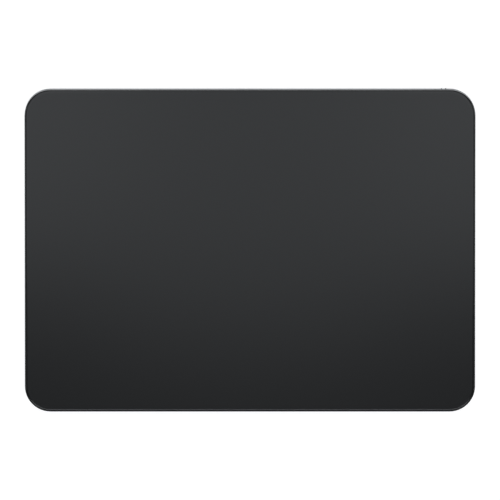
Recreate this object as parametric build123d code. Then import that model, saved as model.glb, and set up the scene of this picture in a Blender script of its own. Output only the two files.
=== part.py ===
from build123d import *
import os
from math import atan2, cos, degrees, pi, sin, tan

# Millimetres. X runs to the right, Y to the rear and Z up from the desk, with
# the origin on the desk under the middle of the footprint. Depths below the
# cover glass are measured square to it, in the sloped frame of the deck.

# Overall form: a thin wedge, lowest along its front edge
width = 160.0
depth = 114.9
front_height = 4.9
rear_height = 10.9
corner_radius = 9.1

# Travel of the moving pieces
press_travel = 0.25
haptic_travel = 0.15
switch_travel = 1.8

# Gaps that many pieces share
drop_in_gap = 0.15
hole_gap = 0.05
passing_gap = 0.3
overrun = 1.0

# Cover glass, its adhesive and the sensor board under it
glass_thickness = 0.9
glass_rim_width = 0.85
glass_rim_drop = 0.28
glass_shoulder_radius = 1.8
glass_edge_radius = 0.45
glass_back_chamfer = 0.12
glass_adhesive_thickness = 0.1
sensor_board_thickness = 0.7
deck_side_gap = 0.85
touch_chip_side = 7.0
touch_chip_height = 0.9
touch_chip_places_shares = ((-0.30, 0.70), (0.30, 0.70), (-0.30, 0.86))
touch_connector_depth = 3.0
touch_connector_height = 0.8
touch_flex_place_share = 0.88

# Enclosure: a machined frame with a flange that the chassis is screwed to
glass_overhang = 0.02
wall_thickness = 1.8
rim_gap = 0.1
lip_width = 2.2
bottom_edge_radius = 1.5
flange_width = 4.0
flange_thickness = 1.0

# Base cover, adhesive frame, chassis and feet
foot_height = 0.7
foot_diameter = 10.0
foot_edge_chamfer = 0.25
foot_inset = 15.0
cover_thickness = 0.5
cover_edge_chamfer = 0.12
cover_adhesive_thickness = 0.1
cover_adhesive_width = 6.0
chassis_thickness = 0.5
chassis_screw_row_shares = (-0.31, 0.0, 0.31)
chassis_screw_side_shares = (-0.2, 0.2)
countersink_diameter = 2.4
countersink_depth = 0.35

# Small machine screws, drawn with this many flat sides instead of a true circle
screw_side_count = 10
screw_head_diameter = 2.2
screw_head_height = 0.2
screw_shank_diameter = 1.2

# Flexures, their posts, seats, gauges and gel pads
gel_thickness = 0.35
seat_thickness = 0.3
seat_inset = 0.5
gel_inset = 0.3
flexure_thickness = 0.4
flexure_width = 8.0
flexure_root_length = 6.0
flexure_neck_length = 6.5
flexure_neck_width = 5.0
flexure_tip_length = 8.0
flexure_neck_corner_share = 0.5
flexure_front_gap = 0.6
flexure_rear_gap = 3.2
flexure_side_gap = 0.1
front_flexure_in = 10.0
flexure_screw_spacing = 4.4
flexure_screw_grip = 0.55
gauge_width = 3.6
gauge_length = 4.6
gauge_thickness = 0.08
gauge_flex_width = 2.0
gauge_flex_thickness = 0.15

# Haptic motor: cores in a row up the slope, pulling sideways on the armature
core_count = 4
core_height = 1.2
core_reach = 12.0
core_yoke = 3.0
core_outer_leg = 2.4
core_gap = 1.2
winding_thickness = 0.6
winding_corner_share = 0.6
winding_gap = 0.05
winding_side_gap = 0.15
winding_setback = 1.0
armature_gap = 0.3
armature_width = 2.4
armature_flange_width = 6.5
armature_flange_thickness = 0.4
bracket_floor = 0.5
bracket_side_margin = 1.5
bracket_end_margin = 0.8
bracket_window_share = 0.55
ear_length = 6.0
ear_width = 4.0
ear_height = 0.8
ear_places_shares = (0.14, 0.86)
haptic_flex_width = 5.0

# Battery: two flat pouch cells, one each side of the haptic motor
battery_thickness = 2.4
battery_tape_thickness = 0.1
battery_swell_gap = 0.35
battery_side_gap = 0.5
battery_corner_radius = 2.0
battery_connector_share = 0.25
battery_edge_chamfer = 0.5
battery_terrace_length = 2.5
battery_terrace_share = 0.3
protection_board_depth = 3.4
protection_board_thickness = 0.7
protection_board_margin = 4.0
battery_end_gap = 0.4
tab_width = 4.0
tab_thickness = 0.12
tab_overlap = 1.2
tab_places_shares = (-0.2, 0.2)
battery_flex_width = 6.0

# Logic board along the rear wall
board_depth = 13.4
board_thickness = 0.8
board_wall_gap = 1.3
board_corner_radius = 1.0
board_end_gap = 1.5
board_screw_inset = 2.2
standoff_across_flats = 3.0
board_screw_places_shares = (-0.96, -0.2, 0.2, 0.96)
connector_width = 7.0
connector_depth = 2.6
connector_height = 0.8
flex_thickness = 0.15
flex_bend_radius = 0.8
processor_side = 7.5
processor_share = 0.28
chip_height = 0.8
chip_row_share = 0.12
small_part_row_share = 0.2
driver_chip_side = 4.0
driver_chip_shares = (0.48, -0.25)
inductor_side = 3.0
inductor_height = 1.4
inductor_corner_share = 0.2
inductor_shares = (0.57, 0.64, 0.8)
capacitor_length = 1.6
capacitor_width = 0.9
capacitor_shares = (0.38, 0.405, 0.71, 0.735, 0.87)
radio_share = -0.47
radio_shield_width = 14.0
radio_shield_depth = 8.0
radio_shield_height = 1.5
radio_shield_wall = 0.15
radio_chip_side = 5.0
antenna_share = -0.81
antenna_row_share = 0.3
antenna_length = 18.0
antenna_depth = 4.4
antenna_height = 2.8
antenna_metal_thickness = 0.15
antenna_slot_width = 1.2

# Charging port in the middle of the rear wall
port_height = 5.4
port_width = 8.34
port_gap = 2.56
port_shell_wall = 0.3
port_shell_depth = 8.0
port_recess = 0.3
port_cut_gap = 0.15
port_base_depth = 2.2
tongue_width = 6.69
tongue_thickness = 0.7
tongue_length = 4.6
contact_count = 12
contact_pitch = 0.5
contact_width = 0.25
contact_thickness = 0.06
contact_length = 3.4
port_bracket_thickness = 0.3
port_bracket_depth = 3.0
port_bracket_foot = 3.4

# Power switch at the right end of the rear wall
switch_inset = 11.3
knob_length = 3.4
knob_height = 2.0
knob_depth = 0.8
knob_recess = 0.1
knob_gap = 0.1
ridge_spacing = 1.42
ridge_width = 0.45
ridge_proud = 0.35
tray_pad_gap = 0.1
tray_fit = 0.05
tray_thickness = 0.5
tray_side_margin = 0.4
tray_height_margin = 1.1
stem_width = 0.9
stem_height = 0.7
stem_offset = 0.6
fork_width = 2.2
fork_height = 1.4
fork_depth = 0.9
fork_stem_gap = 0.1
slider_width = 0.9
slider_height = 0.8
slider_reach = 1.1
slide_switch_length = 6.6
slide_switch_depth = 2.2
slide_switch_height = 2.4
slide_switch_slot_depth = 0.8
slide_switch_corner_radius = 0.25
switch_board_length = 8.0
switch_board_thickness = 0.6
switch_flex_width = 2.0
switch_flex_overlap = 1.1
switch_bracket_foot = 2.2
switch_bracket_end_gap = 0.15
indicator_thickness = 0.05
indicator_inset = 0.1

# Slope of the deck, and the levels that follow from the stack of sheets
slope = atan2(rear_height - front_height, depth)
slope_length = depth / cos(slope)
cover_top = foot_height + cover_thickness
chassis_bottom = cover_top + cover_adhesive_thickness
chassis_top = chassis_bottom + chassis_thickness
flange_top = chassis_top + flange_thickness
rim_depth = glass_thickness + press_travel + rim_gap
board_underside = glass_thickness + glass_adhesive_thickness + sensor_board_thickness
seat_depth = board_underside + gel_thickness
flexure_depth = seat_depth + seat_thickness
post_depth = flexure_depth + flexure_thickness

# How far in from the glass edge each outline lies
wall_inset = glass_overhang + wall_thickness
flange_inset = wall_inset + flange_width
recess_inset = glass_overhang + lip_width
chassis_inset = recess_inset + drop_in_gap
deck_inset = wall_inset + haptic_travel + deck_side_gap
wall_outside = depth / 2 - glass_overhang
wall_inside = depth / 2 - wall_inset

# Logic board and port
port_outer_width = port_width + 2 * port_shell_wall
port_outer_height = port_gap + 2 * port_shell_wall
board_top = port_height - port_outer_height / 2
board_bottom = board_top - board_thickness
board_rear = wall_inside - board_wall_gap
board_front = board_rear - board_depth
board_middle = board_rear - board_depth / 2
connector_top = board_top + connector_height
port_mouth = wall_outside - port_recess
port_back = port_mouth - port_shell_depth

# Power switch
slot_length = knob_length + switch_travel + 2 * knob_gap
slot_height = knob_height + 2 * knob_gap
switch_offset = width / 2 - switch_inset
slot_x = switch_offset - switch_travel / 2
pad_face = wall_outside - knob_recess - knob_depth - tray_pad_gap
tray_back = wall_inside - tray_thickness
fork_front = tray_back - fork_stem_gap - fork_depth
slide_switch_rear = fork_front - hole_gap
slide_switch_front = slide_switch_rear - slide_switch_depth
switch_board_top = port_height - slide_switch_height / 2
switch_board_bottom = switch_board_top - switch_board_thickness
switch_bracket_rear = wall_inside - flange_width - switch_bracket_end_gap
switch_bracket_front = switch_bracket_rear - switch_bracket_foot
stem_x = switch_offset + stem_offset
board_half_width = slot_x - switch_board_length / 2 - board_end_gap

# Flexure places: the screwed root and the way that the free end points
flexure_length = flexure_root_length + flexure_neck_length + flexure_tip_length
flexure_neck_corner = flexure_neck_corner_share * (flexure_width - flexure_neck_width) / 2
flexure_side = width / 2 - flange_inset - flexure_side_gap - flexure_width / 2
flexure_front_side = flexure_side - front_flexure_in
flexure_front_root = flange_inset + flexure_front_gap
flexure_rear_root = depth - flange_inset - flexure_rear_gap
flexure_sites = (
    (-flexure_front_side, flexure_front_root, 1),
    (flexure_front_side, flexure_front_root, 1),
    (-flexure_side, flexure_rear_root, -1),
    (flexure_side, flexure_rear_root, -1),
)

# Haptic motor: it starts where the slope leaves room for it over the chassis
winding_opening = core_height + 2 * winding_gap
winding_height = winding_opening + 2 * winding_thickness
motor_depth = board_underside + press_travel + passing_gap
motor_bottom = motor_depth + winding_height
core_depth = motor_depth + (winding_height - core_height) / 2
core_bottom = core_depth + core_height
motor_rise = chassis_top + bracket_floor - front_height + motor_bottom / cos(slope)
motor_front = motor_rise / tan(slope)
motor_rear = board_front + depth / 2 - drop_in_gap - bracket_end_margin - overrun
core_pitch = (motor_rear - motor_front + core_gap) / core_count
core_length = core_pitch - core_gap
core_window = winding_gap + winding_thickness + winding_side_gap
core_centre_leg = core_length - 2 * core_outer_leg - 2 * core_window
motor_half_width = (core_reach + armature_gap + haptic_travel + armature_width) / 2
leg_face = core_reach - motor_half_width
armature_left = leg_face + haptic_travel + armature_gap
bracket_half_width = motor_half_width + bracket_side_margin
ear_reach = bracket_half_width + ear_width

# Battery cells: they start where the pressed deck clears them
battery_bottom = chassis_top + battery_tape_thickness
battery_top = battery_bottom + battery_thickness
terrace_top = battery_bottom + battery_terrace_share * battery_thickness
battery_rise = battery_top + battery_swell_gap - front_height
battery_start = (battery_rise + (board_underside + press_travel) / cos(slope)) / tan(slope)
protection_board_rear = board_front + depth / 2 - battery_end_gap
protection_board_front = protection_board_rear - protection_board_depth
battery_end = protection_board_front - battery_end_gap
battery_length = battery_end - battery_start
battery_inner = ear_reach + battery_side_gap
battery_outer = flexure_side - flexure_width / 2 - battery_side_gap
battery_width = battery_outer - battery_inner
battery_x = (battery_outer + battery_inner) / 2

# Where the flexes plug into the logic board
battery_connector_x = battery_x - battery_connector_share * battery_width
touch_flex_x = battery_x + battery_connector_share * battery_width
touch_flex_end = touch_flex_place_share * depth
haptic_connector_x = -motor_half_width / 2

# The sloped frame of the deck: its origin is on the glass, at the front edge
deck = Plane(
    origin=(0, -depth / 2, front_height),
    x_dir=(1, 0, 0),
    z_dir=(0, -sin(slope), cos(slope)),
)


def slab(outline, low, high):
    """A flat piece with this outline, from one height to another."""
    return extrude(Pos(0, 0, low) * outline, amount=high - low)


def layer(outline, shallow, deep):
    """A flat piece in the deck's frame, between two depths below the glass."""
    return deck.location * slab(outline, -deep, -shallow)


def along_x(outline, low, high):
    """A piece with its outline in Y and Z, from one X to another."""
    return extrude(Plane.YZ.offset(low) * outline, amount=high - low)


def along_y(outline, low, high):
    """A piece with its outline in X and Z, from one Y to another."""
    return extrude(Plane.XZ.offset(-high) * outline, amount=high - low)


def group(solids):
    """Separate solids that share one node."""
    return Compound(children=[solid for item in solids for solid in item.solids()])


def from_front(distance):
    """Y of a place that lies this far behind the front edge."""
    return distance - depth / 2


def glass_height(distance, below):
    """Z of a point this far behind the front edge and this far below the glass."""
    return front_height + distance * tan(slope) - below / cos(slope)


def up_slope(distance, below):
    """Distance up the deck of a point this far behind the front edge."""
    return (distance - below * sin(slope)) / cos(slope)


def footprint(inset):
    """The plan outline, drawn in from the glass edge."""
    return RectangleRounded(
        width - 2 * inset, depth - 2 * inset, corner_radius - inset
    )


def deck_outline(inset):
    """The same outline in the plane of the deck."""
    sheet = RectangleRounded(
        width - 2 * inset, slope_length - 2 * inset, corner_radius - inset
    )
    return Pos(0, slope_length / 2) * sheet


def below_deck(below):
    """Everything that lies deeper than this below the glass."""
    cutter = Pos(0, slope_length / 2) * Rectangle(2 * width, 2 * slope_length)
    return layer(cutter, below, below + 2 * rear_height)


def strip(points, thickness):
    """The side view of a bent strip, from the points along its underside."""
    line = Polyline(*points)
    return make_face(offset(line, amount=thickness, side=Side.LEFT, closed=True))


def small_round(radius):
    """The outline of a small screw or of the hole that it goes through."""
    return RegularPolygon(radius, screw_side_count)


def wafer_screw(length):
    """A flat-headed screw that hangs from the origin, where its head rests."""
    head = slab(small_round(screw_head_diameter / 2), 0, screw_head_height)
    return head + slab(small_round(screw_shank_diameter / 2), -length, 0)


def screw_bore(length):
    """The hole that a wafer screw of this length goes down."""
    return slab(small_round(screw_shank_diameter / 2 + hole_gap), -length, overrun)


def cut_corners(across, along, cut):
    """A rectangle with its corners cut off."""
    sheet = Rectangle(across, along)
    return chamfer(sheet.vertices(), cut)


def round_over(body, level, radius, turn):
    """Rounds the edges at one height in three flats, which all touch the true round.

    The surface turns through this angle from one side of the edges to the other.
    """
    cut = radius * (tan(turn / 2) - tan(turn / 4))
    recut = radius * (tan(turn / 4) - tan(turn / 8))
    body = chamfer(body.edges().filter_by_position(Axis.Z, level, level), cut)
    rings = body.edges().filter_by(Plane.XY)
    return chamfer(rings.filter_by_position(Axis.Z, level - cut, level + cut), recut)


# Cover glass and the boards bonded under it


def cover_glass():
    """The sheet rolls off slowly over a narrow rim, and then quickly round its edge."""
    sheet = slab(deck_outline(0), -glass_thickness, 0)
    top = sheet.faces().sort_by(Axis.Z)[-1]
    sheet = chamfer(top.edges(), glass_rim_width, glass_rim_drop, reference=top)
    sheet = fillet(sheet.faces().sort_by(Axis.Z)[-1].edges(), glass_shoulder_radius)
    turn = atan2(glass_rim_width, glass_rim_drop)
    sheet = round_over(sheet, -glass_rim_drop, glass_edge_radius, turn)
    sheet = chamfer(sheet.faces().sort_by(Axis.Z)[0].edges(), glass_back_chamfer)
    return deck.location * sheet


def glass_adhesive():
    top = glass_thickness
    return layer(deck_outline(deck_inset), top, top + glass_adhesive_thickness)


def sensor_board():
    top = board_underside - sensor_board_thickness
    return layer(deck_outline(deck_inset), top, board_underside)


def touch_chips():
    chip = Rectangle(touch_chip_side, touch_chip_side)
    deep = board_underside + touch_chip_height
    return group(
        layer(Pos(x * width, y * slope_length) * chip, board_underside, deep)
        for x, y in touch_chip_places_shares
    )


def touch_connector():
    block = Rectangle(connector_width, touch_connector_depth)
    place = Pos(touch_flex_x, up_slope(touch_flex_end, board_underside))
    deep = board_underside + touch_connector_height
    return layer(place * block, board_underside, deep)


# Flexures: leaf springs on posts, which carry the deck through soft pads


def flexure_outline():
    tip_middle = flexure_root_length + flexure_neck_length + flexure_tip_length / 2
    neck_middle = flexure_length / 2
    outline = Pos(0, flexure_root_length / 2) * Rectangle(flexure_width, flexure_root_length)
    outline += Pos(0, neck_middle) * Rectangle(flexure_neck_width, flexure_length - overrun)
    outline += Pos(0, tip_middle) * Rectangle(flexure_width, flexure_tip_length)
    shoulders = (flexure_root_length, flexure_root_length + flexure_neck_length)
    inner = [v for v in outline.vertices() if abs(v.X) < flexure_neck_width / 2 + hole_gap]
    neck = [v for v in inner if shoulders[0] - hole_gap < v.Y < shoulders[1] + hole_gap]
    return chamfer(neck, flexure_neck_corner)


def at_site(site, piece, along, below):
    """A flat shape set on a flexure, this far from its root end."""
    x, root, way = site
    place = Pos(x, up_slope(root, below) + way * along)
    return place * Rot(0, 0, 0 if way > 0 else 180) * piece


def flexure_screw_places():
    return [(side * flexure_screw_spacing / 2, flexure_root_length / 2) for side in (-1, 1)]


def flexures():
    leaf = flexure_outline()
    for x, y in flexure_screw_places():
        leaf -= Pos(x, y) * small_round(screw_shank_diameter / 2 + hole_gap)
    return group(
        layer(at_site(site, leaf, 0, post_depth), flexure_depth, post_depth)
        for site in flexure_sites
    )


def flexure_screws():
    length = flexure_thickness + flexure_screw_grip
    screws = []
    for site in flexure_sites:
        for x, y in flexure_screw_places():
            spot = at_site(site, Pos(x, y) * wafer_screw(length), 0, post_depth)
            screws.append(deck.location * Pos(0, 0, -flexure_depth) * spot)
    return group(screws)


def flexure_posts():
    posts = []
    bore = screw_bore(flexure_screw_grip + hole_gap)
    for site in flexure_sites:
        x, root, way = site
        middle = Pos(x, from_front(root + way * flexure_root_length / 2))
        column = Rectangle(flexure_width, flexure_root_length)
        post = slab(middle * column, chassis_top, rear_height) & below_deck(post_depth)
        for across, along in flexure_screw_places():
            hole = at_site(site, Pos(across, along) * bore, 0, post_depth)
            post -= deck.location * Pos(0, 0, -post_depth) * hole
        posts.append(post)
    return group(posts)


def strain_gauges():
    gauge = Rectangle(gauge_width, gauge_length)
    middle = flexure_root_length + flexure_neck_length / 2
    return group(
        layer(
            at_site(site, gauge, middle, flexure_depth),
            flexure_depth - gauge_thickness,
            flexure_depth,
        )
        for site in flexure_sites
    )


def tip_pads(inset, shallow, deep):
    side = flexure_width - 2 * inset
    along = flexure_length - flexure_tip_length / 2
    pad = cut_corners(side, side, seat_inset)
    return group(layer(at_site(site, pad, along, deep), shallow, deep) for site in flexure_sites)


def flexure_seats():
    return tip_pads(seat_inset, seat_depth, flexure_depth)


def gel_pads():
    return tip_pads(seat_inset + gel_inset, board_underside, seat_depth)


# Housing


def chassis_screw_places():
    """Places along the middle of the flange, as seen from above."""
    inset = wall_inset + flange_width / 2
    rows = [
        (share * width, side * (depth / 2 - inset))
        for side in (-1, 1)
        for share in chassis_screw_row_shares
    ]
    sides = [
        (side * (width / 2 - inset), share * depth)
        for side in (-1, 1)
        for share in chassis_screw_side_shares
    ]
    return rows + sides


def enclosure():
    body = slab(footprint(glass_overhang), foot_height, rear_height)
    body = round_over(body, foot_height, bottom_edge_radius, pi / 2)
    body &= below_deck(rim_depth)
    body -= slab(footprint(recess_inset), foot_height - overrun, chassis_top)
    body -= slab(footprint(flange_inset), chassis_top - overrun, flange_top + overrun)
    body -= slab(footprint(wall_inset), flange_top, rear_height + overrun)
    for x, y in chassis_screw_places():
        body -= Pos(x, y, flange_top) * screw_bore(flange_thickness + overrun)
    port = port_outline(port_shell_wall + port_cut_gap)
    body -= along_y(port, wall_inside - overrun, wall_outside + overrun)
    slot = SlotOverall(slot_length, slot_height)
    body -= along_y(Pos(slot_x, port_height) * slot, wall_inside - overrun, wall_outside + overrun)
    return body


def countersunk_screw(length, allowance):
    """A flat screw that points up from the underside of the chassis."""
    rim = small_round(countersink_diameter / 2 + allowance)
    shank = small_round(screw_shank_diameter / 2 + allowance)
    run = cos(pi / screw_side_count) * (countersink_diameter - screw_shank_diameter) / 2
    head = extrude(rim, amount=countersink_depth, taper=degrees(atan2(run, countersink_depth)))
    return head + slab(shank, countersink_depth - hole_gap, length)


def chassis_plate():
    plate = slab(footprint(chassis_inset), chassis_bottom, chassis_top)
    for x, y in chassis_screw_places():
        hole = countersunk_screw(chassis_thickness + overrun, hole_gap)
        plate -= Pos(x, y, chassis_bottom) * hole
    for x, y in ear_screw_places():
        plate -= Pos(x, y, chassis_top) * screw_bore(chassis_thickness + overrun)
    return plate


def chassis_screws():
    screw = countersunk_screw(chassis_thickness + flange_thickness - hole_gap, 0)
    return group(Pos(x, y, chassis_bottom) * screw for x, y in chassis_screw_places())


def cover_adhesive():
    frame = footprint(chassis_inset) - footprint(chassis_inset + cover_adhesive_width)
    return slab(frame, cover_top, chassis_bottom)


def foot_places():
    across = width / 2 - foot_inset
    along = depth / 2 - foot_inset
    return [(x * across, y * along) for x in (-1, 1) for y in (-1, 1)]


def base_cover():
    cover = slab(footprint(chassis_inset), foot_height, cover_top)
    return chamfer(cover.faces().sort_by(Axis.Z)[0].edges(), cover_edge_chamfer)


def feet():
    foot = slab(Circle(foot_diameter / 2), 0, foot_height)
    foot = chamfer(foot.faces().sort_by(Axis.Z)[0].edges(), foot_edge_chamfer)
    return group(Pos(x, y) * foot for x, y in foot_places())


# Haptic motor, built in the deck's frame so that its air gap follows the slope


def core_starts():
    """How far up the deck each core begins."""
    first = up_slope(motor_front, core_bottom)
    return [first + number * core_pitch for number in range(core_count)]


def haptic_cores():
    yoke = Pos(leg_face - core_reach / 2, core_length / 2) * Rectangle(core_reach, core_length)
    middle = leg_face - (core_reach - core_yoke) / 2
    from_middle = (core_centre_leg + core_window) / 2
    for side in (-1, 1):
        window = Rectangle(core_reach - core_yoke, core_window)
        yoke -= Pos(middle, core_length / 2 + side * from_middle) * window
    return group(layer(Pos(0, start) * yoke, core_depth, core_bottom) for start in core_starts())


def haptic_coils():
    opening = Rectangle(core_centre_leg + 2 * winding_gap, winding_opening)
    around = core_centre_leg + 2 * (winding_gap + winding_thickness)
    turns = cut_corners(around, winding_height, winding_corner_share * winding_thickness)
    turns -= opening
    left = leg_face - core_reach + core_yoke + winding_side_gap
    coil = along_x(turns, left, leg_face - winding_setback)
    middle_depth = (core_depth + core_bottom) / 2
    return group(
        deck.location * Pos(0, start + core_length / 2, -middle_depth) * coil
        for start in core_starts()
    )


def haptic_armature():
    first = core_starts()[0]
    last = core_starts()[-1] + core_length
    middle, length = (first + last) / 2, last - first
    flange = Rectangle(armature_flange_width, length)
    bar = Rectangle(armature_width, length)
    flange_depth = board_underside + armature_flange_thickness
    plate = Pos(armature_left + armature_flange_width / 2, middle) * flange
    keeper = Pos(armature_left + armature_width / 2, middle) * bar
    return layer(plate, board_underside, flange_depth) + layer(keeper, flange_depth, core_bottom)


def ear_screw_places():
    front = from_front(motor_front)
    along = motor_rear - motor_front
    across = bracket_half_width + ear_width / 2
    return [(x * across, front + share * along) for x in (-1, 1) for share in ear_places_shares]


def haptic_bracket():
    front = from_front(motor_front) - bracket_end_margin
    rear = from_front(motor_rear) + bracket_end_margin
    block = Pos(0, (front + rear) / 2) * Rectangle(2 * bracket_half_width, rear - front)
    bracket = slab(block, chassis_top, rear_height) & below_deck(motor_bottom)
    for x, y in ear_screw_places():
        inward = Pos(x, y) * Rectangle(ear_width, ear_length)
        bracket += slab(inward, chassis_top, chassis_top + ear_height)
        bracket -= Pos(x, y, chassis_top + ear_height) * screw_bore(ear_height + overrun)
    window = Rectangle(core_reach - core_yoke, core_length * bracket_window_share)
    rail = Rectangle(core_yoke, core_length)
    foot = Rectangle(winding_setback, core_outer_leg)
    for start in core_starts():
        middle = from_front(start * cos(slope) + core_length / 2)
        opening = slab(Pos(0, middle) * window, chassis_top - overrun, rear_height)
        bracket -= opening
        yoke_x = leg_face - core_reach + core_yoke / 2
        bracket += layer(Pos(yoke_x, start + core_length / 2) * rail, core_bottom, motor_bottom)
        for along in (core_outer_leg / 2, core_length - core_outer_leg / 2):
            place = Pos(leg_face - winding_setback / 2, start + along)
            bracket += layer(place * foot, core_bottom, motor_bottom)
    return bracket


def haptic_screws():
    length = ear_height + chassis_thickness - hole_gap
    return group(
        Pos(x, y, chassis_top + ear_height) * wafer_screw(length) for x, y in ear_screw_places()
    )


# Battery


def battery_cell(side):
    middle = from_front((battery_start + battery_end) / 2)
    full = RectangleRounded(battery_width, battery_length, battery_corner_radius)
    cell = slab(full, battery_bottom, battery_top)
    cell = chamfer(cell.faces().sort_by(Axis.Z)[-1].edges(), battery_edge_chamfer)
    step = Pos(0, (battery_length - battery_terrace_length) / 2 + overrun / 2)
    shelf = step * Rectangle(battery_width + overrun, battery_terrace_length + overrun)
    cell -= slab(shelf, terrace_top, battery_top + overrun)
    return Pos(side * battery_x, middle) * cell


def battery_left():
    return battery_cell(-1)


def battery_right():
    return battery_cell(1)


def battery_tape():
    middle = from_front((battery_start + battery_end) / 2)
    across = battery_width - 2 * battery_corner_radius
    tape = Rectangle(across, battery_length - 2 * battery_corner_radius)
    return group(
        slab(Pos(side * battery_x, middle) * tape, chassis_top, battery_bottom)
        for side in (-1, 1)
    )


def battery_boards():
    middle = from_front((protection_board_front + protection_board_rear) / 2)
    board = Rectangle(battery_width - 2 * protection_board_margin, protection_board_depth)
    high = chassis_top + protection_board_thickness
    return group(
        slab(Pos(side * battery_x, middle) * board, chassis_top, high) for side in (-1, 1)
    )


def battery_tabs():
    board_level = chassis_top + protection_board_thickness
    points = (
        (from_front(battery_end) - tab_overlap, terrace_top),
        (from_front(battery_end), terrace_top),
        (from_front(protection_board_front), board_level),
        (from_front(protection_board_front) + tab_overlap, board_level),
    )
    tab = along_x(strip(points, tab_thickness), -tab_width / 2, tab_width / 2)
    return group(
        Pos(side * battery_x + share * battery_width, 0) * tab
        for side in (-1, 1)
        for share in tab_places_shares
    )


# Logic board and what is soldered to it


def board_screw_spots():
    y = board_front + board_screw_inset
    return [(share * board_half_width, y) for share in board_screw_places_shares]


def logic_board():
    outline = Pos(0, board_middle) * RectangleRounded(
        2 * board_half_width, board_depth, board_corner_radius
    )
    board = slab(outline, board_bottom, board_top)
    for x, y in board_screw_spots():
        board -= Pos(x, y, board_top) * screw_bore(board_thickness + overrun)
    return board


def board_standoffs():
    height = board_bottom - chassis_top
    hexagon = RegularPolygon(standoff_across_flats / 2, 6, major_radius=False)
    post = slab(hexagon, -height, 0) - screw_bore(height + overrun)
    return group(Pos(x, y, board_bottom) * post for x, y in board_screw_spots())


def board_screws():
    length = board_top - chassis_top - hole_gap
    return group(Pos(x, y, board_top) * wafer_screw(length) for x, y in board_screw_spots())


def on_board(outline, x, y, height):
    """A block soldered to the logic board, placed in shares of its size."""
    place = Pos(x * board_half_width, board_middle + y * board_depth)
    return slab(place * outline, board_top, board_top + height)


def processor():
    chip = Rectangle(processor_side, processor_side)
    return on_board(chip, processor_share, chip_row_share, chip_height)


def driver_chips():
    chip = Rectangle(driver_chip_side, driver_chip_side)
    return group(
        on_board(chip, share, small_part_row_share, chip_height) for share in driver_chip_shares
    )


def inductors():
    can = cut_corners(inductor_side, inductor_side, inductor_corner_share * inductor_side)
    return group(
        on_board(can, share, small_part_row_share, inductor_height) for share in inductor_shares
    )


def capacitors():
    block = Rectangle(capacitor_width, capacitor_length)
    return group(
        on_board(block, share, small_part_row_share, capacitor_width)
        for share in capacitor_shares
    )


def board_connectors():
    block = Rectangle(connector_width, connector_depth)
    y = board_front + connector_depth / 2
    across = (-battery_connector_x, haptic_connector_x, battery_connector_x, touch_flex_x)
    return group(slab(Pos(x, y) * block, board_top, connector_top) for x in across)


def radio_chip():
    chip = Rectangle(radio_chip_side, radio_chip_side)
    return on_board(chip, radio_share, chip_row_share, chip_height)


def radio_shield():
    outer = Rectangle(radio_shield_width, radio_shield_depth)
    inner = offset(outer, amount=-radio_shield_wall)
    ceiling = radio_shield_height - radio_shield_wall
    can = on_board(outer, radio_share, chip_row_share, radio_shield_height)
    return can - on_board(inner, radio_share, chip_row_share, ceiling)


def antenna_carrier():
    block = Rectangle(antenna_length, antenna_depth)
    return on_board(block, antenna_share, antenna_row_share, antenna_height)


def antenna():
    loop = Rectangle(antenna_length, antenna_depth)
    slot = Rectangle(antenna_length - antenna_slot_width, antenna_slot_width)
    loop -= Pos(antenna_slot_width, 0) * slot
    metal = on_board(loop, antenna_share, antenna_row_share, antenna_metal_thickness)
    return Pos(0, 0, antenna_height) * metal


# Flexes: flat strips between the boards


def battery_flexes():
    start = from_front(protection_board_rear) - tab_overlap
    low = chassis_top + protection_board_thickness
    points = (
        (start, low),
        (from_front(protection_board_rear) + battery_end_gap / 2, low),
        (board_front - battery_end_gap / 2, connector_top),
        (board_front + connector_depth, connector_top),
    )
    flex = strip(points, flex_thickness)
    flex = along_x(flex, -battery_flex_width / 2, battery_flex_width / 2)
    return group(Pos(side * battery_connector_x, 0) * flex for side in (-1, 1))


def haptic_flex():
    start = motor_rear + hole_gap
    end = motor_rear + bracket_end_margin
    points = (
        (from_front(start), glass_height(start, motor_bottom)),
        (from_front(end), glass_height(end, motor_bottom)),
        (board_front, connector_top),
        (board_front + connector_depth, connector_top),
    )
    flex = strip(points, flex_thickness)
    flex = along_x(flex, -haptic_flex_width / 2, haptic_flex_width / 2)
    return Pos(haptic_connector_x, 0) * flex


def touch_flex():
    deep = board_underside + touch_connector_height
    front = board_front - 2 * flex_bend_radius
    end = touch_flex_end + touch_connector_depth / 2
    points = (
        (from_front(end), glass_height(end, deep)),
        (front, glass_height(front + depth / 2, deep)),
        (front, connector_top),
        (board_front + connector_depth, connector_top),
    )
    bend = FilletPolyline(*points, radius=flex_bend_radius)
    flex = make_face(offset(bend, amount=flex_thickness, side=Side.LEFT, closed=True))
    flex = along_x(flex, -connector_width / 2, connector_width / 2)
    return Pos(touch_flex_x, 0) * flex


def gauge_flexes():
    """A strip along each side of the chassis, from the front flexure to the logic board."""
    outer = battery_outer + battery_side_gap / 2 + gauge_flex_width
    front = from_front(flexure_front_root + flexure_root_length) + hole_gap
    rear = from_front(flexure_rear_root - flexure_root_length) - hole_gap
    front_run = outer - flexure_front_side
    rear_run = outer - board_half_width + board_corner_radius
    high = chassis_top + gauge_flex_thickness
    flexes = []
    for side in (-1, 1):
        long = Pos(side * (outer - gauge_flex_width / 2), (front + rear) / 2)
        flex = slab(long * Rectangle(gauge_flex_width, rear - front), chassis_top, high)
        for run, end in ((front_run, front + gauge_flex_width), (rear_run, rear)):
            arm = Rectangle(run, gauge_flex_width)
            arm = Pos(side * (outer - run / 2), end - gauge_flex_width / 2) * arm
            flex += slab(arm, chassis_top, high)
        flexes.append(flex)
    return group(flexes)


# Charging port


def port_outline(extra):
    slot = SlotOverall(port_width + 2 * extra, port_gap + 2 * extra)
    return Pos(0, port_height) * slot


def port_shell():
    return along_y(port_outline(port_shell_wall) - port_outline(0), port_back, port_mouth)


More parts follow.
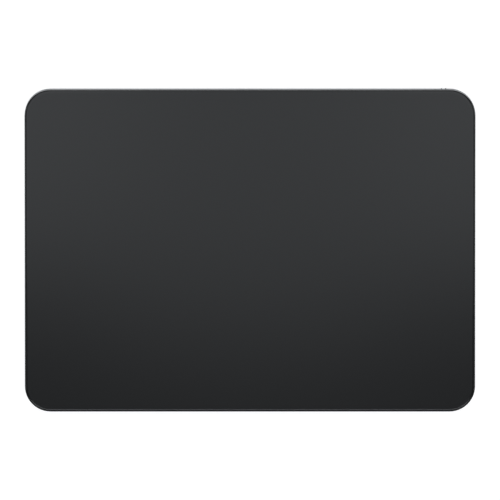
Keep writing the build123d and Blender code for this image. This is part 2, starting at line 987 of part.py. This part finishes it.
def port_tongue():
    base = along_y(port_outline(-hole_gap / 2), port_back, port_back + port_base_depth)
    blade = Pos(0, port_height) * Rectangle(tongue_width, tongue_thickness)
    end = port_back + port_base_depth + tongue_length
    return base + along_y(blade, port_back, end)


def port_contacts():
    pad = Rectangle(contact_width, contact_thickness)
    start = port_back + port_base_depth
    away = (tongue_thickness + contact_thickness) / 2
    contacts = []
    for number in range(contact_count):
        x = (number - (contact_count - 1) / 2) * contact_pitch
        for side in (-1, 1):
            spot = Pos(x, port_height + side * away) * pad
            contacts.append(along_y(spot, start, start + contact_length))
    return group(contacts)


def port_bracket_screw_places():
    across = port_outer_width / 2 + hole_gap + port_bracket_thickness + port_bracket_foot / 2
    return [(side * across, port_back + port_bracket_depth / 2) for side in (-1, 1)]


def port_bracket():
    half = port_outer_width / 2 + hole_gap
    top = port_height + port_outer_height / 2 + hole_gap
    foot = half + port_bracket_thickness + port_bracket_foot
    points = (
        (-foot, board_top),
        (-half, board_top),
        (-half, top),
        (half, top),
        (half, board_top),
        (foot, board_top),
    )
    strap = strip(points, port_bracket_thickness)
    bracket = along_y(strap, port_back, port_back + port_bracket_depth)
    for x, y in port_bracket_screw_places():
        bracket -= Pos(x, y, board_top) * screw_bore(overrun)
    return bracket


def port_screws():
    screw = wafer_screw(port_bracket_thickness)
    level = board_top + port_bracket_thickness
    return group(Pos(x, y, level) * screw for x, y in port_bracket_screw_places())


# Power switch


def switch_knob():
    face = wall_outside - knob_recess
    slider = Pos(switch_offset, port_height) * SlotOverall(knob_length, knob_height)
    knob = along_y(slider, face - knob_depth, face)
    ridge = Rectangle(ridge_width, knob_height - 2 * ridge_width)
    for side in (-1, 1):
        spot = Pos(switch_offset + side * ridge_spacing / 2, port_height)
        knob += along_y(spot * ridge, face - knob_depth / 2, wall_outside + ridge_proud)
    stem = Pos(stem_x, port_height) * Rectangle(stem_width, stem_height)
    knob += along_y(stem, fork_front + fork_depth / 2, face - knob_depth / 2)
    fork = Pos(stem_x, port_height) * Rectangle(fork_width, fork_height)
    knob += along_y(fork, fork_front, fork_front + fork_depth)
    notch = Rectangle(slider_width + 2 * hole_gap, fork_height + overrun)
    notch_depth = fork_depth - 2 * hole_gap
    knob -= along_y(Pos(stem_x, port_height) * notch, fork_front - overrun, fork_front + notch_depth)
    return knob


def switch_actuator():
    bar = Pos(stem_x, port_height) * Rectangle(slider_width, slider_height)
    tip = fork_front + fork_depth - 3 * hole_gap
    return along_y(bar, tip - slider_reach, tip)


def slide_switch():
    middle = Pos(stem_x - switch_travel / 2, port_height)
    block = RectangleRounded(slide_switch_length, slide_switch_height, slide_switch_corner_radius)
    case = along_y(middle * block, slide_switch_front, slide_switch_rear)
    window = Rectangle(slider_width + switch_travel + 4 * hole_gap, slider_height + 4 * hole_gap)
    low = slide_switch_rear - slide_switch_slot_depth
    return case - along_y(middle * window, low, slide_switch_rear + overrun)


def switch_tray():
    pad = SlotOverall(slot_length - 2 * tray_fit, slot_height - 2 * tray_fit)
    tray = along_y(Pos(slot_x, port_height) * pad, tray_back, pad_face)
    plate = RectangleRounded(
        slot_length + 2 * tray_side_margin, slot_height + 2 * tray_height_margin, tray_side_margin
    )
    tray += along_y(Pos(slot_x, port_height) * plate, tray_back, wall_inside)
    window = Rectangle(stem_width + switch_travel + 4 * hole_gap, stem_height + 4 * hole_gap)
    middle = Pos(stem_x - switch_travel / 2, port_height)
    return tray - along_y(middle * window, tray_back - overrun, pad_face + overrun)


def on_indicator():
    edge = 2 * (tray_fit + indicator_inset)
    left = slot_x - slot_length / 2 + edge / 2
    right = switch_offset - knob_length / 2
    stripe = Pos((left + right) / 2 - slot_x, 0) * Rectangle(right - left, slot_height)
    patch = Pos(slot_x, port_height) * (SlotOverall(slot_length - edge, slot_height - edge) & stripe)
    return along_y(patch, pad_face, pad_face + indicator_thickness)


def switch_board():
    middle = (switch_bracket_front + slide_switch_rear) / 2
    board = Rectangle(switch_board_length, slide_switch_rear - switch_bracket_front)
    piece = slab(Pos(slot_x, middle) * board, switch_board_bottom, switch_board_top)
    for x, y in switch_screw_places():
        piece -= Pos(x, y, switch_board_top) * screw_bore(switch_board_thickness + overrun)
    return piece


def switch_screw_places():
    across = switch_board_length / 2 - screw_head_diameter / 2 - hole_gap
    y = switch_bracket_front + screw_head_diameter / 2
    return [(slot_x - across, y), (slot_x + across, y)]


def switch_bracket():
    profile = Polyline(
        (switch_bracket_front, chassis_top),
        (switch_bracket_rear, chassis_top),
        (switch_bracket_rear, flange_top),
        (slide_switch_rear, flange_top),
        (slide_switch_rear, switch_board_bottom),
        (switch_bracket_front, switch_board_bottom),
        close=True,
    )
    half = switch_board_length / 2
    bracket = along_x(make_face(profile), slot_x - half, slot_x + half)
    for x, y in switch_screw_places():
        bracket -= Pos(x, y, switch_board_bottom) * screw_bore(switch_board_bottom - flange_top)
    return bracket


def switch_screws():
    screw = wafer_screw(switch_board_top - flange_top - hole_gap)
    return group(Pos(x, y, switch_board_top) * screw for x, y in switch_screw_places())


def switch_flex():
    """A short bridge between the logic board and the switch's own board."""
    board_end = board_half_width
    switch_end = slot_x - switch_board_length / 2
    points = (
        (board_end - switch_flex_overlap, board_top),
        (board_end, board_top),
        (switch_end, switch_board_top),
        (switch_end + switch_flex_overlap, switch_board_top),
    )
    rear = slide_switch_rear - hole_gap
    return along_y(strip(points, flex_thickness), rear - switch_flex_width, rear)


pieces = (
    cover_glass,
    glass_adhesive,
    sensor_board,
    touch_chips,
    touch_connector,
    haptic_armature,
    gel_pads,
    flexure_seats,
    flexures,
    strain_gauges,
    flexure_posts,
    flexure_screws,
    touch_flex,
    gauge_flexes,
    enclosure,
    chassis_plate,
    chassis_screws,
    cover_adhesive,
    base_cover,
    feet,
    haptic_bracket,
    haptic_cores,
    haptic_coils,
    haptic_screws,
    haptic_flex,
    battery_left,
    battery_right,
    battery_tape,
    battery_boards,
    battery_tabs,
    battery_flexes,
    logic_board,
    board_standoffs,
    board_screws,
    processor,
    driver_chips,
    inductors,
    capacitors,
    board_connectors,
    radio_chip,
    radio_shield,
    antenna_carrier,
    antenna,
    port_shell,
    port_tongue,
    port_contacts,
    port_bracket,
    port_screws,
    switch_knob,
    switch_actuator,
    slide_switch,
    switch_tray,
    on_indicator,
    switch_board,
    switch_bracket,
    switch_screws,
    switch_flex,
)

os.makedirs("parts", exist_ok=True)
for piece in pieces:
    export_step(piece(), f"parts/{piece.__name__}.step")
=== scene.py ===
import math

import bmesh
import bpy
from mathutils import Matrix, Vector


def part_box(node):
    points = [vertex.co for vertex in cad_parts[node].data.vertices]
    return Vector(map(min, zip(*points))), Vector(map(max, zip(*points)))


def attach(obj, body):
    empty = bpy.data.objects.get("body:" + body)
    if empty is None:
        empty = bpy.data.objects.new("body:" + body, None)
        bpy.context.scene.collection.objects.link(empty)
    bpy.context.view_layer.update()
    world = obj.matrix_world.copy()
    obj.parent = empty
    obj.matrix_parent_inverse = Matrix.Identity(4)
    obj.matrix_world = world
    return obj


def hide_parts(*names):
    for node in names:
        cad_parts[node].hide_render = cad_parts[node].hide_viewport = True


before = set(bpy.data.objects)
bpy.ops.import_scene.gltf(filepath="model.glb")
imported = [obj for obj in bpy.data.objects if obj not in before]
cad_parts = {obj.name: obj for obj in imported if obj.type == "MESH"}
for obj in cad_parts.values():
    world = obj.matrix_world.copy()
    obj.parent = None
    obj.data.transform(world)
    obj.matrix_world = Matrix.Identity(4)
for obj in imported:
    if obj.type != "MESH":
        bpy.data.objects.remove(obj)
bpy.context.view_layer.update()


# Enclosure: a wedge-shaped frame milled from one block of aluminium, bead
# blasted and clear anodised. Only its walls show, as a soft silver edge below
# the glass, and the slits for the charging port and the power switch.


def linear(hex_colour):
    """A colour written as #rrggbb, as the linear values that shaders take."""
    shares = [int(hex_colour[at : at + 2], 16) / 255 for at in (1, 3, 5)]
    curved = [c / 12.92 if c <= 0.04045 else ((c + 0.055) / 1.055) ** 2.4 for c in shares]
    return (*curved, 1.0)


def per_size(millimetres):
    """The scale at which one grain of a texture is this wide."""
    return 1000 / millimetres


def add_node(material, kind, settings=(), inputs=()):
    """Adds a node to a material, with its settings and what feeds its inputs."""
    node = material.node_tree.nodes.new(kind)
    for name, value in dict(settings).items():
        setattr(node, name, value)
    for name, value in dict(inputs).items():
        if isinstance(value, bpy.types.NodeSocket):
            material.node_tree.links.new(value, node.inputs[name])
        else:
            node.inputs[name].default_value = value
    return node


# The sockets of a node that mixes colours: its share, its two colours and the mix.
share_in, colour_in, other_colour_in, mix_out = 0, 6, 7, 2


def grained_finish(name, sockets, colours, gloss, grain, depth, stretch=(1, 1, 1)):
    """A finish whose one grain shades its colour, its roughness and its relief.

    The grain's width and depth are in millimetres, and stretch draws it out.
    Its nodes are named, so that a material can put a pattern in front of them.
    """
    material = bpy.data.materials.new(name)
    material.use_nodes = True
    shader = material.node_tree.nodes["Principled BSDF"]
    for socket, value in sockets.items():
        shader.inputs[socket].default_value = value
    place = add_node(material, "ShaderNodeTexCoord", {"name": "place"})
    drawn = add_node(
        material,
        "ShaderNodeMapping",
        inputs={"Vector": place.outputs["Object"], "Scale": stretch},
    )
    noise = add_node(
        material,
        "ShaderNodeTexNoise",
        inputs={"Vector": drawn.outputs[0], "Scale": per_size(grain), "Detail": 3.0},
    )
    tint = add_node(
        material,
        "ShaderNodeMix",
        {"name": "tint", "data_type": "RGBA"},
        {
            share_in: noise.outputs[0],
            colour_in: linear(colours[0]),
            other_colour_in: linear(colours[1]),
        },
    )
    spread = add_node(
        material,
        "ShaderNodeMapRange",
        {"name": "spread"},
        {"Value": noise.outputs[0], "To Min": gloss[0], "To Max": gloss[1]},
    )
    relief = add_node(
        material,
        "ShaderNodeBump",
        {"name": "relief"},
        {"Strength": 0.5, "Distance": depth / 1000, "Height": noise.outputs[0]},
    )
    link = material.node_tree.links.new
    link(tint.outputs[mix_out], shader.inputs["Base Color"])
    link(spread.outputs[0], shader.inputs["Roughness"])
    link(relief.outputs[0], shader.inputs["Normal"])
    return material


def dress(material, *nodes):
    """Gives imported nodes, or pieces made here, their finish."""
    for node in nodes:
        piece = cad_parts[node] if isinstance(node, str) else node
        if not piece.material_slots:
            piece.data.materials.append(material)
        for material_slot in piece.material_slots:
            material_slot.material = material


def smooth_copy(node, body):
    """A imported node's shape with its facets joined, so that its rounds shade as rounds."""
    weld_distance = 0.000002
    speck_size = 0.000001
    sharp_angle = math.radians(30)
    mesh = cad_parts[node].data.copy()
    shape = bmesh.new()
    shape.from_mesh(mesh)
    bmesh.ops.remove_doubles(shape, verts=shape.verts, dist=weld_distance)
    bmesh.ops.dissolve_degenerate(shape, edges=shape.edges, dist=speck_size)
    for face in shape.faces:
        face.smooth = True
    for edge in shape.edges:
        joined = len(edge.link_faces) == 2
        edge.smooth = joined and edge.calc_face_angle() < sharp_angle
    shape.to_mesh(mesh)
    shape.free()
    piece = bpy.data.objects.new(node + "_shaded", mesh)
    bpy.context.scene.collection.objects.link(piece)
    even = piece.modifiers.new("even_shading", "WEIGHTED_NORMAL")
    even.keep_sharp = True
    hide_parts(node)
    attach(piece, body)
    return piece


# Anodised aluminium, bead blasted: the beads leave a fine even pitting that
# spreads highlights softly. Real pits are 0.05 mm wide, drawn here at 0.16 mm.
# The edge tint is set dark as painted shade, so a wall seen edge on reflects
# the white floor darker, as if the floor behind it lay in shadow.
anodised = grained_finish(
    "aluminium_bead_blasted_anodised",
    {"Metallic": 1.0, "Specular Tint": linear("#7c7d7f")},
    ("#b8b9bb", "#c2c3c5"),
    gloss=(0.36, 0.46),
    grain=0.16,
    depth=0.003,
)
dress(anodised, smooth_copy("enclosure", "housing"))


# Chassis plate: cold-rolled stainless sheet with countersunk holes, screwed up
# into the enclosure's flange. It stiffens the frame and carries every part.

# Stainless steel, cold rolled: the rolls leave fine lines along the sheet.
rolled_steel = grained_finish(
    "stainless_steel_cold_rolled",
    {"Metallic": 1.0},
    ("#a8a7a5", "#bdbcba"),
    gloss=(0.28, 0.42),
    grain=0.3,
    depth=0.002,
    stretch=(0.04, 1, 1),
)
dress(rolled_steel, "chassis_plate")

# Carbon steel, cold headed and zinc plated: bright with a faint cloudy bloom.
plated_screw = grained_finish(
    "steel_zinc_plated",
    {"Metallic": 1.0},
    ("#8f9092", "#a9aaad"),
    gloss=(0.25, 0.4),
    grain=0.4,
    depth=0.003,
)
dress(
    plated_screw,
    "chassis_screws",
    "flexure_screws",
    "haptic_screws",
    "board_screws",
    "port_screws",
    "switch_screws",
)


# Base cover: a thin stamped sheet, painted silver grey to match the enclosure,
# laid into a recess on a frame of adhesive. Four round rubber feet are bonded
# to it, and they alone touch the desk.

# Aluminium sheet, spray painted: satin paint with a slight orange peel 0.8 mm
# across.
painted = grained_finish(
    "aluminium_sheet_spray_painted",
    {"Metallic": 0.35},
    ("#b9babb", "#c0c1c2"),
    gloss=(0.42, 0.5),
    grain=0.8,
    depth=0.006,
)
dress(painted, smooth_copy("base_cover", "housing"))

# Acrylic foam tape, die cut: dull black with open pores.
tape = grained_finish(
    "acrylic_foam_tape_die_cut",
    {},
    ("#161617", "#222223"),
    gloss=(0.8, 0.92),
    grain=0.25,
    depth=0.02,
)
dress(tape, "cover_adhesive", "battery_tape", "glass_adhesive")

# Silicone rubber, moulded: soft grey, with the fine spark-eroded grain of its
# mould, about 0.1 mm and drawn at 0.2 mm.
rubber = grained_finish(
    "silicone_rubber_moulded",
    {"IOR": 1.41},
    ("#a3a5a6", "#acaeaf"),
    gloss=(0.62, 0.75),
    grain=0.2,
    depth=0.01,
)
dress(rubber, smooth_copy("feet", "housing"))


# Haptic motor: four laminated E cores, each with a coil on its middle leg, sit
# in a row on a wedge bracket under the middle of the deck. They pull a steel
# bar on the deck sideways, which the hand feels as a click.


def banded_finish(name, sockets, colours, gloss, pitch, depth, direction):
    """A finish with even ridges or lines across one axis, this far apart in millimetres."""
    ridges_per_grain = 4
    ridge_unit = 0.314  # at scale 1, one ridge of the wave texture is pi / 10 wide
    material = grained_finish(name, sockets, colours, gloss, ridges_per_grain * pitch, depth)
    parts = material.node_tree.nodes
    ridges = add_node(
        material,
        "ShaderNodeTexWave",
        {"bands_direction": direction},
        {"Vector": parts["place"].outputs["Object"], "Scale": ridge_unit * per_size(pitch)},
    )
    link = material.node_tree.links.new
    link(ridges.outputs["Fac"], parts["tint"].inputs[share_in])
    link(ridges.outputs["Fac"], parts["relief"].inputs["Height"])
    return material


# Aluminium, milled: a small cutter leaves shallow lines 0.25 mm apart.
milled = banded_finish(
    "aluminium_milled",
    {"Metallic": 1.0},
    ("#bfc0c1", "#cbccce"),
    gloss=(0.3, 0.42),
    pitch=0.25,
    depth=0.003,
    direction="Y",
)
dress(milled, "haptic_bracket", "flexure_posts", "switch_bracket")

# Silicon steel, stacked: sheets 0.35 mm thick with dark varnish between them.
stacked = banded_finish(
    "silicon_steel_laminated",
    {"Metallic": 0.9},
    ("#3b3a3b", "#77767a"),
    gloss=(0.4, 0.55),
    pitch=0.35,
    depth=0.02,
    direction="Z",
)
dress(stacked, "haptic_cores")

# Copper wire, enamelled and wound: turns 0.12 mm thick lie side by side. The
# colour is painted lighter along each turn's crown as a painted highlight, and
# darker between turns as painted shade.
wound = banded_finish(
    "copper_wire_enamelled_wound",
    {"Metallic": 1.0, "Coat Weight": 0.6, "Coat Roughness": 0.15},
    ("#6e3413", "#b86a36"),
    gloss=(0.25, 0.35),
    pitch=0.12,
    depth=0.05,
    direction="X",
)
dress(wound, "haptic_coils")

# Steel, stamped and nickel plated: a warm, slightly clouded mirror.
nickel = grained_finish(
    "steel_nickel_plated",
    {"Metallic": 1.0},
    ("#b5b0a6", "#c3beb5"),
    gloss=(0.22, 0.34),
    grain=0.6,
    depth=0.003,
)
dress(nickel, "haptic_armature", "flexure_seats", "battery_tabs")

# Polyimide film over copper: amber, with the covered tracks as faint ridges
# 0.4 mm apart along the strip, which runs across the part or from front to rear.
for suffix, direction, strips in (
    ("", "X", ("haptic_flex", "battery_flexes", "touch_flex")),
    ("_lengthways", "Y", ("gauge_flexes", "switch_flex", "strain_gauges")),
):
    film = banded_finish(
        "polyimide_flex_laminated" + suffix,
        {"Coat Weight": 0.3, "Coat Roughness": 0.2},
        ("#8a4512", "#a45d1e"),
        gloss=(0.3, 0.4),
        pitch=0.4,
        depth=0.01,
        direction=direction,
    )
    dress(film, *strips)


# Battery: two flat lithium cells in laminated pouches, taped to the chassis on
# each side of the motor, with a small protection board behind each.

# Aluminium laminate pouch, pressed and wrapped in black film: low wrinkles
# about 3 mm across.
pouch = grained_finish(
    "pouch_foil_film_wrapped",
    {"Coat Weight": 0.25, "Coat Roughness": 0.3},
    ("#1b1b1d", "#252527"),
    gloss=(0.38, 0.5),
    grain=3,
    depth=0.03,
)
dress(pouch, "battery_left", "battery_right")


# Logic board: a glass epoxy board on four hexagonal standoffs along the rear
# wall. It holds the processor, the coil drivers, the charger, the radio under
# its shield and the antenna on its carrier.

# Glass epoxy laminate, solder masked: dark green lacquer, a little lighter and
# raised over rows of tracks. Real tracks are 0.15 mm apart, drawn at 0.45 mm.
masked = grained_finish(
    "glass_epoxy_solder_masked",
    {"Coat Weight": 0.4, "Coat Roughness": 0.15},
    ("#10291c", "#1f4a33"),
    gloss=(0.35, 0.45),
    grain=0.5,
    depth=0.012,
)
parts = masked.node_tree.nodes
tracks = add_node(
    masked,
    "ShaderNodeTexBrick",
    {"offset": 0.37, "offset_frequency": 3, "squash": 0.6, "squash_frequency": 2},
    {
        "Vector": parts["place"].outputs["Object"],
        "Scale": per_size(1),
        "Row Height": 0.45,
        "Brick Width": 4.7,
        "Mortar Size": 0.07,
        "Mortar Smooth": 0.3,
    },
)
masked.node_tree.links.new(tracks.outputs["Fac"], parts["tint"].inputs[share_in])
masked.node_tree.links.new(tracks.outputs["Fac"], parts["relief"].inputs["Height"])
dress(masked, "logic_board", "battery_boards", "switch_board")

# Brass, turned: fine rings from the lathe, seen on the flats as short lines.
turned = banded_finish(
    "brass_turned",
    {"Metallic": 1.0},
    ("#b9974a", "#d0b065"),
    gloss=(0.22, 0.34),
    pitch=0.15,
    depth=0.004,
    direction="Z",
)
dress(turned, "board_standoffs")

# Epoxy compound, moulded: matt charcoal with specks of silica filler.
epoxy = grained_finish(
    "epoxy_chip_moulded",
    {"IOR": 1.55},
    ("#1d1e1f", "#29292b"),
    gloss=(0.5, 0.62),
    grain=0.12,
    depth=0.006,
)
dress(epoxy, "processor", "driver_chips", "touch_chips", "radio_chip")

# Ferrite, pressed and fired: dense dark grey with a slight sparkle.
ferrite = grained_finish(
    "ferrite_pressed",
    {"IOR": 1.9},
    ("#2c2b2c", "#3d3b3c"),
    gloss=(0.35, 0.55),
    grain=0.2,
    depth=0.01,
)
dress(ferrite, "inductors")

# Ceramic, fired and capped with tin: tan in the middle and silver at each end,
# past 0.45 mm from the middle of the row.
ceramic = grained_finish(
    "ceramic_capacitor_fired",
    {"IOR": 1.7},
    ("#7a5b3c", "#87674a"),
    gloss=(0.4, 0.5),
    grain=0.3,
    depth=0.004,
)
low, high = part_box("capacitors")
row_middle = (low.y + high.y) / 2
cap_start = 0.00045
parts = ceramic.node_tree.nodes
split = add_node(
    ceramic, "ShaderNodeSeparateXYZ", inputs={"Vector": parts["place"].outputs["Object"]}
)
from_middle = add_node(
    ceramic, "ShaderNodeMath", {"operation": "SUBTRACT"}, {0: split.outputs["Y"], 1: row_middle}
)
either_side = add_node(
    ceramic, "ShaderNodeMath", {"operation": "ABSOLUTE"}, {0: from_middle.outputs[0]}
)
capped = add_node(
    ceramic,
    "ShaderNodeMath",
    {"operation": "GREATER_THAN"},
    {0: either_side.outputs[0], 1: cap_start},
)
ends = add_node(
    ceramic,
    "ShaderNodeMix",
    {"data_type": "RGBA"},
    {
        share_in: capped.outputs[0],
        colour_in: parts["tint"].outputs[mix_out],
        other_colour_in: linear("#b9b9b6"),
    },
)
shader = parts["Principled BSDF"]
ceramic.node_tree.links.new(ends.outputs[mix_out], shader.inputs["Base Color"])
ceramic.node_tree.links.new(capped.outputs[0], shader.inputs["Metallic"])
dress(ceramic, "capacitors")

# Liquid crystal polymer, moulded: satin black with flow lines along its length.
polymer = grained_finish(
    "polymer_connector_moulded",
    {"IOR": 1.6},
    ("#19191a", "#222224"),
    gloss=(0.4, 0.5),
    grain=0.5,
    depth=0.004,
    stretch=(0.2, 1, 1),
)
dress(polymer, "board_connectors", "touch_connector", "antenna_carrier", "switch_actuator")

# Sheet steel, stamped and tin plated: pale and a little cloudy.
tinned = grained_finish(
    "steel_tin_plated",
    {"Metallic": 1.0},
    ("#bdbdb9", "#cfcfcb"),
    gloss=(0.28, 0.42),
    grain=0.7,
    depth=0.003,
)
dress(tinned, "radio_shield", "port_bracket", "slide_switch")

# Copper, plated with gold: warm yellow and smooth.
gold = grained_finish(
    "copper_gold_plated",
    {"Metallic": 1.0},
    ("#cda85a", "#dfbd6f"),
    gloss=(0.18, 0.28),
    grain=0.2,
    depth=0.001,
)
dress(gold, "antenna", "port_contacts")


# Charging port: a deep-drawn steel shell round a polymer tongue with a row of
# gold contacts on each face, held down by a strap. Its mouth lies just inside
# the slit in the rear wall.

# Stainless steel, deep drawn: smooth, with faint lines along the draw.
drawn_steel = grained_finish(
    "stainless_steel_deep_drawn",
    {"Metallic": 1.0},
    ("#9c9b99", "#afaeac"),
    gloss=(0.2, 0.32),
    grain=0.25,
    depth=0.002,
    stretch=(1, 0.1, 1),
)
dress(drawn_steel, smooth_copy("port_shell", "housing"))
dress(polymer, smooth_copy("port_tongue", "housing"))


# Power switch: a small anodised knob with two ridges slides in a slit of the
# rear wall, and uncovers a green patch at its on end. A stem and fork behind
# it move the slider of a slide switch.

# Aluminium, machined and anodised: finer and darker than the enclosure.
# Cutter lines 0.1 mm apart run across it.
cut_aluminium = banded_finish(
    "aluminium_machined_anodised",
    {"Metallic": 1.0},
    ("#77787a", "#828385"),
    gloss=(0.3, 0.38),
    pitch=0.1,
    depth=0.002,
    direction="X",
)
dress(cut_aluminium, smooth_copy("switch_knob", "power_slider"))

# Polycarbonate, moulded: matt black with a fine eroded grain.
moulded = grained_finish(
    "polycarbonate_moulded",
    {"IOR": 1.58},
    ("#151516", "#1c1c1d"),
    gloss=(0.5, 0.6),
    grain=0.12,
    depth=0.006,
)
dress(moulded, "switch_tray")

# Pad-printed ink: even bright green with a slight stipple.
green_ink = grained_finish(
    "ink_pad_printed_green",
    {},
    ("#2fa84a", "#38b555"),
    gloss=(0.45, 0.55),
    grain=0.15,
    depth=0.004,
)
dress(green_ink, "on_indicator")


# Flexures: four etched leaf springs on milled posts carry the deck at its
# corners. Strain gauges on their necks feel the press, and soft gel pads under
# the deck let it shift sideways.

# Spring steel, photo-etched: fine rolled lines under a dull etched skin.
spring_steel = grained_finish(
    "spring_steel_photo_etched",
    {"Metallic": 1.0},
    ("#8d8c8a", "#a09f9d"),
    gloss=(0.36, 0.5),
    grain=0.3,
    depth=0.002,
    stretch=(1, 0.05, 1),
)
dress(spring_steel, "flexures")

# Silicone gel, cast: cloudy and soft, with a wet gloss.
gel = grained_finish(
    "silicone_gel_cast",
    {"IOR": 1.41, "Subsurface Weight": 0.2},
    ("#c5c6bd", "#d0d1c8"),
    gloss=(0.2, 0.3),
    grain=1.5,
    depth=0.01,
)
dress(gel, "gel_pads")


# Sensor board: a black glass epoxy board bonded under the whole glass, printed
# with a grid of diamond electrodes 4.5 mm apart that shows through its lacquer.

# Glass epoxy laminate, lacquered black: a deep gloss over a slightly lighter grid.
sensor = grained_finish(
    "glass_epoxy_black_lacquered",
    {"Coat Weight": 0.3, "Coat Roughness": 0.2},
    ("#1d1f21", "#131415"),
    gloss=(0.4, 0.5),
    grain=0.5,
    depth=0.003,
)
electrode_pitch = 4.5
diamond_turn = math.radians(45)
parts = sensor.node_tree.nodes
turned_grid = add_node(
    sensor,
    "ShaderNodeMapping",
    inputs={"Vector": parts["place"].outputs["Object"], "Rotation": (0, 0, diamond_turn)},
)
diamonds = add_node(
    sensor,
    "ShaderNodeTexChecker",
    inputs={
        "Vector": turned_grid.outputs[0],
        "Scale": per_size(electrode_pitch / math.sqrt(2)),
    },
)
sensor.node_tree.links.new(diamonds.outputs["Fac"], parts["tint"].inputs[share_in])
dress(sensor, "sensor_board")


# Cover glass: one sheet of strengthened glass, its back printed black and its
# touch side etched matt. The ground rim rolls off round the edge.

# Glass, etched, with black ink behind it: the etch spreads reflections into a
# soft sheen. Etch grains are 0.02 mm wide, drawn at 0.14 mm. The ground rim is
# a little smoother, so it draws a thin line of light just inside the edge.
etched = grained_finish(
    "glass_etched_black_backed",
    {"IOR": 1.5},
    ("#060607", "#080809"),
    gloss=(0.314, 0.334),
    grain=0.14,
    depth=0.0003,
)
rim_roughness = 0.213
rim_turn_start = math.radians(3)
rim_turn_end = math.radians(8)
low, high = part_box("cover_glass")
deck_rise = 0.006
deck_slope = math.atan2(deck_rise, high.y - low.y)
parts = etched.node_tree.nodes
outward = add_node(etched, "ShaderNodeNewGeometry")
facing = add_node(
    etched,
    "ShaderNodeVectorMath",
    {"operation": "DOT_PRODUCT"},
    {0: outward.outputs["Normal"], 1: (0, -math.sin(deck_slope), math.cos(deck_slope))},
)
on_rim = add_node(
    etched,
    "ShaderNodeMapRange",
    inputs={
        "Value": facing.outputs["Value"],
        "From Min": math.cos(rim_turn_end),
        "From Max": math.cos(rim_turn_start),
        "To Min": 1.0,
        "To Max": 0.0,
    },
)
smoother = add_node(
    etched,
    "ShaderNodeMix",
    {"data_type": "FLOAT"},
    {"Factor": on_rim.outputs[0], "A": parts["spread"].outputs[0], "B": rim_roughness},
)
etched.node_tree.links.new(smoother.outputs[0], parts["Principled BSDF"].inputs["Roughness"])
dress(etched, smooth_copy("cover_glass", "deck"))


# Floor: a plain white sheet under the object, which the camera sees as white
# all round it and which still takes the object's soft shadow.
floor_reach = 6.0
bare_floor = bmesh.new()
bmesh.ops.create_grid(bare_floor, x_segments=1, y_segments=1, size=floor_reach)
floor_mesh = bpy.data.meshes.new("floor")
bare_floor.to_mesh(floor_mesh)
bare_floor.free()
floor = bpy.data.objects.new("floor", floor_mesh)
bpy.context.scene.collection.objects.link(floor)

# Paper, uncoated: a dull white that glows a little towards the camera, metal
# and glass, so that it shows white where no shadow falls.
paper = grained_finish(
    "paper_white_uncoated",
    {"Specular IOR Level": 0.1, "Emission Color": linear("#ffffff")},
    ("#bcbcbc", "#c0c0c0"),
    gloss=(0.85, 0.95),
    grain=3,
    depth=0.01,
)
paper_glow = 0.75
seen = add_node(paper, "ShaderNodeLightPath")
by_mirror = add_node(
    paper,
    "ShaderNodeMath",
    {"operation": "MAXIMUM"},
    {0: seen.outputs["Is Glossy Ray"], 1: seen.outputs["Is Transmission Ray"]},
)
by_any = add_node(
    paper,
    "ShaderNodeMath",
    {"operation": "MAXIMUM"},
    {0: seen.outputs["Is Camera Ray"], 1: by_mirror.outputs[0]},
)
glow = add_node(
    paper, "ShaderNodeMath", {"operation": "MULTIPLY"}, {0: by_any.outputs[0], 1: paper_glow}
)
shader = paper.node_tree.nodes["Principled BSDF"]
paper.node_tree.links.new(glow.outputs[0], shader.inputs["Emission Strength"])
floor.data.materials.append(paper)


# Studio: a large soft box close overhead, dimmer along its middle, whose front
# end shows in the glass as its dark fade. A strip in front draws the bright line
# on the rim, and a low box on each side lights the walls in an even grey room.
daylight = linear("#f6fbff")
room = bpy.data.worlds.new("studio_walls")
bpy.context.scene.world = room
room.use_nodes = True
walls = room.node_tree.nodes["Background"]
walls.inputs["Color"].default_value = daylight
walls.inputs["Strength"].default_value = 0.13


def soft_box(name, middle, aim, across, along, radiance):
    """A rectangular lamp whose whole face shines this bright."""
    lamp = bpy.data.lights.new(name, "AREA")
    lamp.shape = "RECTANGLE"
    lamp.size = across
    lamp.size_y = along
    lamp.energy = radiance * math.pi * across * along
    lamp.color = daylight[:3]
    box = bpy.data.objects.new(name, lamp)
    bpy.context.scene.collection.objects.link(box)
    box.location = middle
    box.rotation_mode = "QUATERNION"
    box.rotation_quaternion = (Vector(aim) - Vector(middle)).to_track_quat("-Z", "Y")


overhead_height = 0.229
soft_box(
    "overhead_middle",
    middle=(0, 0.0794, overhead_height),
    aim=(0, 0.0794, 0),
    across=0.097,
    along=0.305,
    radiance=0.9,
)
for side, name in ((-1, "left"), (1, "right")):
    over = side * 0.123
    soft_box(
        "overhead_" + name,
        middle=(over, 0.0914, overhead_height),
        aim=(over, 0.0914, 0),
        across=0.149,
        along=0.281,
        radiance=1.24,
    )
    soft_box(
        "low_" + name,
        middle=(side * 0.42, 0, 0.2),
        aim=(0, 0, 0),
        across=0.3,
        along=0.2,
        radiance=2.6,
    )
soft_box(
    "front_strip",
    middle=(0, -0.355, 0.46),
    aim=(0, 0, 0),
    across=0.7,
    along=0.0636,
    radiance=4.5,
)


# Camera: a very long lens, looking down from just behind the vertical.
lens = 1400.0
sensor_width = 36.0
framed_width = 0.1775
tilt = math.radians(4.15)
aim_point = Vector((0.0, 0.00040, 0.0079))
camera_data = bpy.data.cameras.new("camera")
camera_data.lens = lens
camera_data.sensor_width = sensor_width
camera_data.clip_start = 0.5
camera_data.clip_end = 20.0
camera = bpy.data.objects.new("camera", camera_data)
bpy.context.scene.collection.objects.link(camera)
bpy.context.scene.camera = camera
away = Vector((0, math.sin(tilt), math.cos(tilt)))
right = Vector((1, 0, 0))
camera.location = aim_point + away * (framed_width * lens / sensor_width)
camera.rotation_mode = "QUATERNION"
camera_axes = Matrix((right, away.cross(right), away)).transposed()
camera.rotation_quaternion = camera_axes.to_quaternion()
bpy.context.scene.view_settings.view_transform = "Standard"
